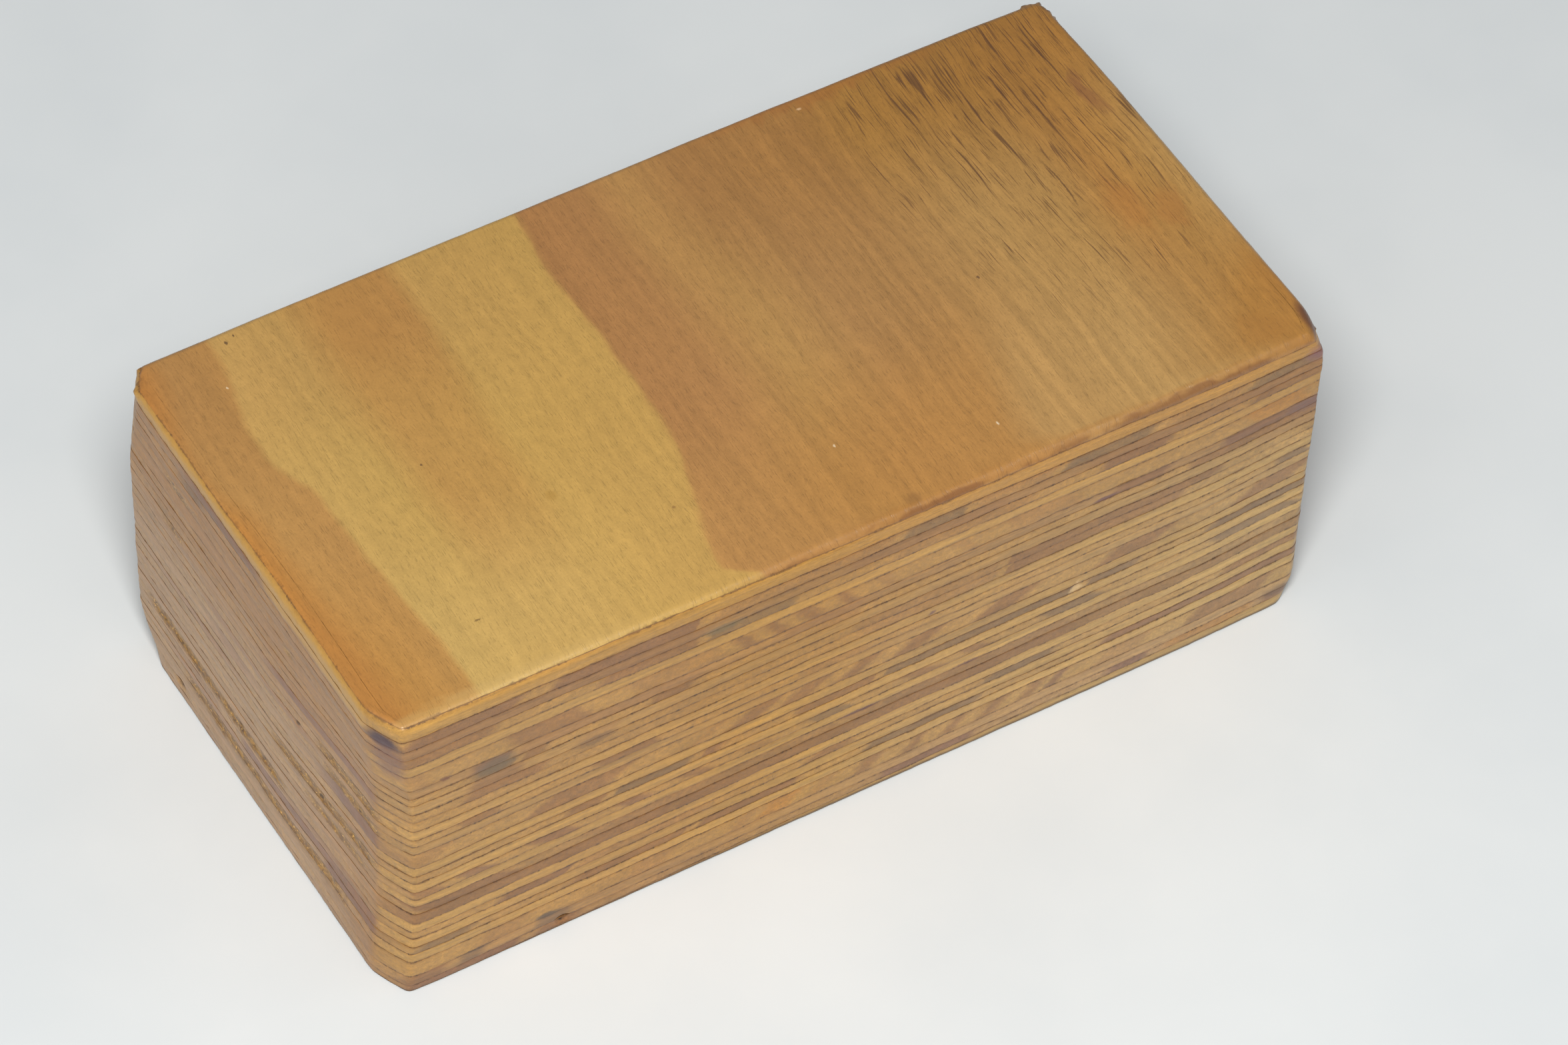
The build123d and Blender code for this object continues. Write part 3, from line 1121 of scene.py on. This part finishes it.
def face_veneer_material():
    """The lacquered face veneer: colour bands across the grain, fine lines and a few marks along it."""
    nodes = Nodes("face_veneer_wood")
    place = nodes.block_place()
    colour = face_band_colour(nodes, place)
    grain_place = nodes.wobble(place, (0.06, 0.02, 0.1), (6.0, 0, 0))
    lines = nodes.noise(grain_place, (0.62, 0.018, 0.3), 3.0, 0.6)
    pores = nodes.noise(grain_place, (4.6, 0.40, 0.5), 3.0, 0.55)
    mottle = nodes.noise(grain_place, (0.42, 0.24, 0.3), 4.0, 0.7)
    specks = nodes.noise(place, (2.6, 2.2, 1.0), 3.0, 0.65)
    figured = nodes.range(nodes.split(place)[0], 70, 150, 0.55, 1.0)
    deep_lines = nodes.spread(lines, 0.88, 1.08, 0.36, 0.64)
    shade = nodes.times(
        nodes.math("POWER", deep_lines, figured),
        nodes.range(pores, 0.28, 0.46, 0.86, 1.0),
        nodes.spread(mottle, 0.93, 1.07),
        nodes.spread(specks, 0.94, 1.06),
    )
    colour = nodes.tint(colour, nodes.grey(shade))
    colour = face_streaks(nodes, grain_place, colour)
    colour = face_marks(nodes, place, colour)
    colour = face_rim(nodes, place, colour)
    colour = glue_stain(nodes, place, colour, 0.4)

    smear = nodes.noise(place, (0.06, 0.05, 0.1), 3.0)
    roughness = nodes.spread(smear, 0.34, 0.46)
    height = nodes.math("ADD", nodes.times(lines, 0.8), nodes.range(pores, 0.26, 0.46, 0.0, 0.6))
    height = nodes.math("ADD", height, nodes.times(mottle, 1.2))
    return nodes.finish(colour, roughness, height, 0.07, coat=0.30, coat_roughness=0.25)


def face_streaks(nodes, place, colour):
    """Dark streaks along the grain, thickest near the back right."""
    x, y, _ = nodes.split(place)
    zone = nodes.times(nodes.range(x, 136, 170), nodes.range(x, 190, 199, 1.0, 0.5))
    zone = nodes.times(zone, nodes.range(y, 10, 95, 0.0, 1.0, smooth=False))
    for waves in ((1.1, 0.05, 0.2), (2.6, 0.07, 0.3), (3.8, 0.12, 0.3)):
        rising = nodes.math("MULTIPLY_ADD", zone, 0.078, nodes.noise(place, waves, 2.0, 0.5))
        amount = nodes.times(nodes.range(rising, 0.65, 0.74), 0.7, nodes.range(zone, 0.02, 0.3))
        colour = nodes.mix(amount, colour, linear(88, 56, 34))
    return colour


# Marks on the face veneer: x, y, half sizes, colour, strength.
FACE_MARKS = [
    (184, 46, 6, 8, (180, 118, 54), 0.40),
    (192, 42, 4, 9, (174, 110, 50), 0.35),
    (197, 16, 5, 13, (168, 114, 48), 0.40),
    (190, 6, 6, 6, (172, 118, 52), 0.40),
    (198.5, 5, 2.2, 6, (88, 46, 40), 0.75),
    (54, 36, 1.5, 1.8, (172, 130, 58), 0.55),
    (111, 2.5, 2.2, 2.2, (140, 98, 52), 0.5),
    (150, 44, 0.4, 0.6, (90, 62, 44), 0.8),
    (37, 54, 0.3, 0.45, (100, 70, 44), 0.8),
    (72, 22.5, 0.5, 0.5, (140, 100, 54), 0.7),
    (28, 16.5, 0.9, 0.3, (110, 80, 44), 0.7),
    (20, 98, 0.4, 0.7, (84, 58, 38), 0.8),
    (22, 99, 0.3, 0.5, (84, 58, 38), 0.8),
    (15, 88, 0.28, 0.45, (230, 206, 170), 0.8),
    (105, 21, 0.28, 0.5, (232, 208, 172), 0.8),
    (134, 11, 0.28, 0.6, (236, 214, 180), 0.8),
    (143, 98, 0.7, 0.4, (236, 196, 150), 0.7),
    (3, 15, 4.5, 16, (180, 124, 56), 0.15),
    (44, 90, 9, 14, (176, 124, 62), 0.35),
    (199.5, 99, 2.2, 3, (70, 48, 34), 0.75),
    (150, 100, 36, 4, (162, 100, 44), 0.45),
    (194, 74, 2.4, 9, (124, 72, 50), 0.45),
    (172, 98, 12, 7, (150, 106, 48), 0.25),
]


def face_marks(nodes, place, colour):
    flat = nodes.wobble(place, (0.10, 0.06, 0.1), (9.0, 12.0, 0))
    flat = nodes.vector("MULTIPLY", nodes.wobble(flat, (0.5, 0.2, 0.1), (3.0, 6.0, 0)), (1, 1, 0))
    sharp = nodes.vector("MULTIPLY", nodes.wobble(place, (2.0, 2.0, 1.0), (0.4, 0.4, 0)), (1, 1, 0))
    for x, y, half_x, half_y, mark, strength in FACE_MARKS:
        where = flat if half_x > 2.3 else sharp
        amount = nodes.times(nodes.blot(where, (x, y, 0), (half_x, half_y, 0)), strength)
        colour = nodes.mix(amount, colour, linear(*mark))
    crack_x = nodes.math("SUBTRACT", nodes.split(sharp)[0], 176.6)
    bend = nodes.math("SUBTRACT", nodes.split(place)[1], 57.0)
    bend = nodes.times(nodes.times(bend, bend), 0.012)
    line = nodes.range(nodes.math("ABSOLUTE", nodes.math("ADD", crack_x, bend)), 0.05, 0.28, 1.0, 0.0)
    part = nodes.times(nodes.blot(sharp, (176.5, 57, 0), (4, 8.5, 0)), 0.7)
    return nodes.mix(nodes.times(line, part), colour, linear(84, 54, 32))


def face_rim(nodes, place, colour):
    """Worn pale, with a painted highlight, on the front edge's left; lacquer built up dark along its right.
    """
    x, y, _ = nodes.split(place)
    uneven = nodes.noise(place, (0.09, 0.3, 0.1), 3.0)
    from_front = nodes.math("ADD", y, nodes.spread(uneven, -1.0, 1.0))
    rim = nodes.fall(from_front, 2.0, 4.2)
    # The pale strip is partly worn lacquer and partly a painted highlight of the lacquer's gloss.
    worn_and_highlight = nodes.times(rim, nodes.range(x, 62, 30, 0.0, 0.35))
    colour = nodes.mix(worn_and_highlight, colour, linear(210, 174, 108))
    built_up = nodes.fall(from_front, 0.8, 2.6)
    on_right = nodes.range(x, 66, 96)
    built_up = nodes.times(built_up, nodes.times(on_right, 0.5))
    colour = nodes.mix(built_up, colour, linear(164, 112, 52))
    last_edge = nodes.times(nodes.fall(from_front, 0.1, 1.0), on_right)
    return nodes.mix(nodes.times(last_edge, 0.6), colour, linear(116, 68, 34))


def resin_material():
    """The brown resin in a glue joint."""
    nodes = Nodes("resin_glue")
    place = nodes.block_place()
    patchy = nodes.noise(place, (0.5, 0.5, 0.6), 3.0)
    colour = nodes.mix(nodes.range(patchy, 0.3, 0.7), linear(110, 76, 46), linear(150, 110, 66))
    specks = nodes.noise(place, (2.4, 2.4, 2.4), 2.0)
    colour = nodes.mix(nodes.range(specks, 0.55, 0.7, 0.0, 0.6), colour, linear(76, 50, 34))
    roughness = nodes.range(patchy, 0.3, 0.7, 0.35, 0.55)
    return nodes.finish(colour, roughness, specks, 0.03, coat=0.2, coat_roughness=0.3)


# ---- pieces


def build_veneers():
    for index, (name, _, _) in enumerate(VENEERS):
        material = face_veneer_material() if index == 0 else veneer_material(index)
        piece = veneer_piece(index).piece(name + "_veneer", material)
        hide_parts(name)


def build_glue():
    """One piece for each CAD node of glue: a panel's films together, and each lamination joint."""
    resin = resin_material()
    first = 0
    for panel in PANELS:
        count = sum(1 for name, _, _ in VENEERS if name.startswith(panel))
        groups = {panel + "_glue_films": range(first, first + count - 1)}
        if panel != PANELS[-1]:
            groups[panel + "_lamination_glue"] = [first + count - 1]
        for node, indices in groups.items():
            piece = glue_sheets(indices, Shell()).piece(node + "_resin", resin)
            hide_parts(node)
        first += count


# ---- floor, light and camera


def paper_material():
    nodes = Nodes("pale_paper")
    place = nodes.block_place()
    mottled = nodes.noise(place, (0.012, 0.012, 0.012), 4.0)
    colour = nodes.mix(nodes.range(mottled, 0.3, 0.7), linear(226, 230, 231), linear(233, 236, 236))
    return nodes.finish(colour, 0.7, mottled, 0.02, coat=0.0, coat_roughness=0.3)


def make_floor():
    half = 3.0
    mesh = bpy.data.meshes.new("floor")
    corners = [(-half, -half, 0), (half, -half, 0), (half, half, 0), (-half, half, 0)]
    mesh.from_pydata(corners, [], [(0, 1, 2, 3)])
    mesh.materials.append(paper_material())
    floor = bpy.data.objects.new("floor", mesh)
    bpy.context.scene.collection.objects.link(floor)


def area_light(name, place, aim, size, power, colour):
    light = bpy.data.lights.new(name, "AREA")
    light.shape = "DISK"
    light.size = size
    light.energy = power
    light.color = colour
    obj = bpy.data.objects.new(name, light)
    obj.location = place
    obj.rotation_euler = (Vector(aim) - Vector(place)).to_track_quat("-Z", "Y").to_euler()
    bpy.context.scene.collection.objects.link(obj)


def make_light():
    world = bpy.data.worlds.new("studio")
    world.use_nodes = True
    background = world.node_tree.nodes["Background"]
    background.inputs["Color"].default_value = (0.92, 0.96, 1.0, 1)
    background.inputs["Strength"].default_value = 0.27
    bpy.context.scene.world = world
    aim = (0, 0, 0.03)
    area_light("key", (-0.34, -0.54, 0.98), aim, 0.34, 9.9, (1.0, 0.99, 0.97))
    area_light("left_fill", (-1.05, -0.45, 0.95), aim, 1.6, 3.0, (0.98, 0.99, 1.0))
    area_light("right_fill", (0.60, -1.00, 1.00), aim, 1.8, 2.1, (0.98, 0.99, 1.0))


VIEW_AZIMUTH = -31.9
VIEW_ELEVATION = 48.98
VIEW_ROLL = 1.85
VIEW_DISTANCE = 1.406
VIEW_LENS = 170.9
AIM_OFFSET = Vector((7.0, -10.3, -4.4)) * MM


def make_camera():
    camera = bpy.data.cameras.new("camera")
    camera.sensor_fit = "HORIZONTAL"
    camera.sensor_width = 36
    camera.lens = VIEW_LENS
    camera.clip_end = 20
    turn = math.radians(-VIEW_AZIMUTH)
    rise = math.radians(VIEW_ELEVATION)
    looking = Vector(
        (math.sin(turn) * math.cos(rise), math.cos(turn) * math.cos(rise), -math.sin(rise))
    )
    centre = Vector([(low + high) / 2 for low, high in zip(cad_low, cad_high)])
    aim = centre + AIM_OFFSET
    rotation = looking.to_track_quat("-Z", "Y").to_matrix()
    roll = Matrix.Rotation(math.radians(VIEW_ROLL), 3, "Z")
    obj = bpy.data.objects.new("camera", camera)
    obj.matrix_world = Matrix.Translation(aim - looking * VIEW_DISTANCE) @ (rotation @ roll).to_4x4()
    bpy.context.scene.collection.objects.link(obj)
    bpy.context.scene.camera = obj


build_veneers()
build_glue()
make_floor()
make_light()
make_camera()
bpy.context.scene.view_settings.view_transform = "Standard"
